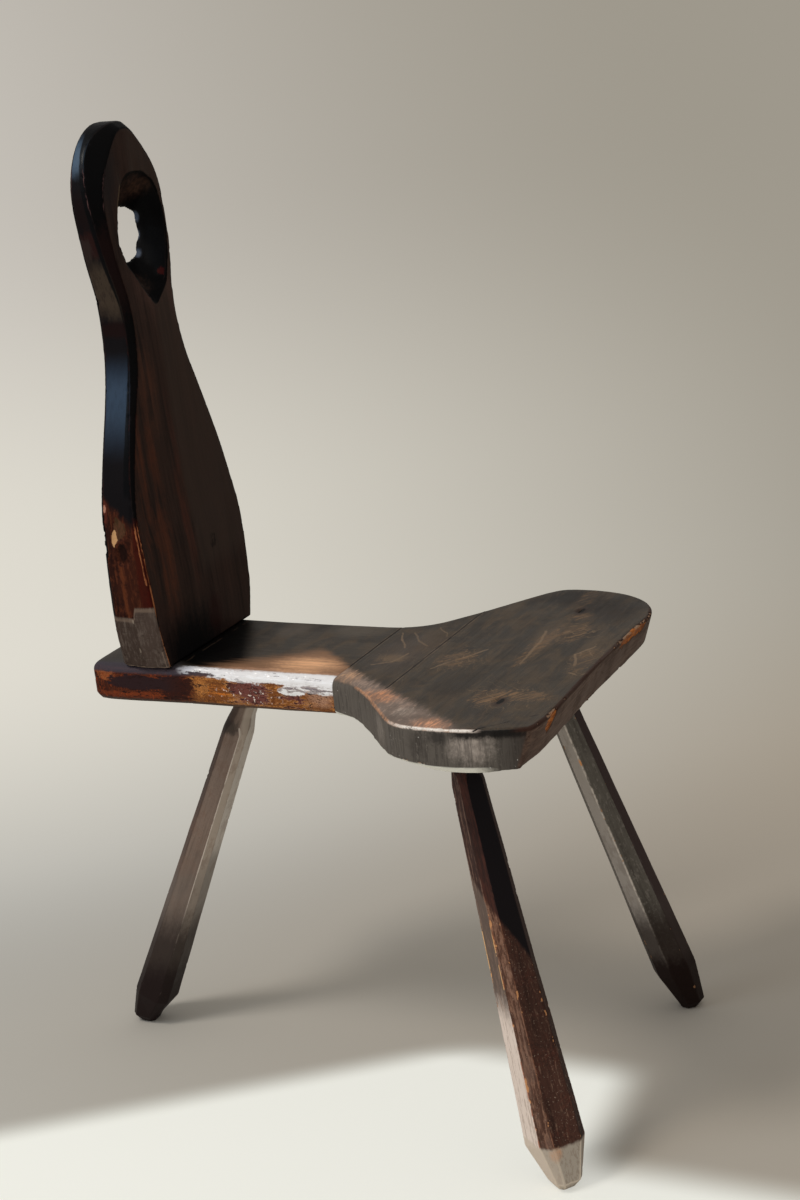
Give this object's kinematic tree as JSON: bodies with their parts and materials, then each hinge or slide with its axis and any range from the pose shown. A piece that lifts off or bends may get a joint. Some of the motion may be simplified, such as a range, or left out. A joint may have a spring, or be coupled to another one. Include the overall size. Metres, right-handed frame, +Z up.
{
  "type": "plank-back chair",
  "caption": "Carved solid-wood stool chair: broad waisted seat on splayed hewn legs, with one shaped back plank pierced by a grip hole.",
  "frame": {"origin": "on the floor, at the centre of the chair's footprint box", "axes": "+Z up, the sitter faces -Y, +X is the sitter's left"},
  "size_m": [0.3711, 0.5334, 0.8646],
  "materials": {
    "stained_plank": "dark stain under worn gloss varnish",
    "stained_seat": "dark stain under worn satin varnish",
    "stained_legs": "dark stain under satin varnish",
    "plain_wood": "bare, planed"
  },
  "bodies": {
    "root": {"back_plank": "stained_plank", "seat_rear_board": "stained_seat", "seat_middle_board": "stained_seat", "seat_front_board": "stained_seat", "front_leg_right": "stained_legs", "front_leg_left": "stained_legs", "rear_leg": "stained_legs", "rear_joint_dowels": "plain_wood", "front_joint_dowels": "plain_wood", "back_dowels": "plain_wood"}
  },
  "joints": []
}
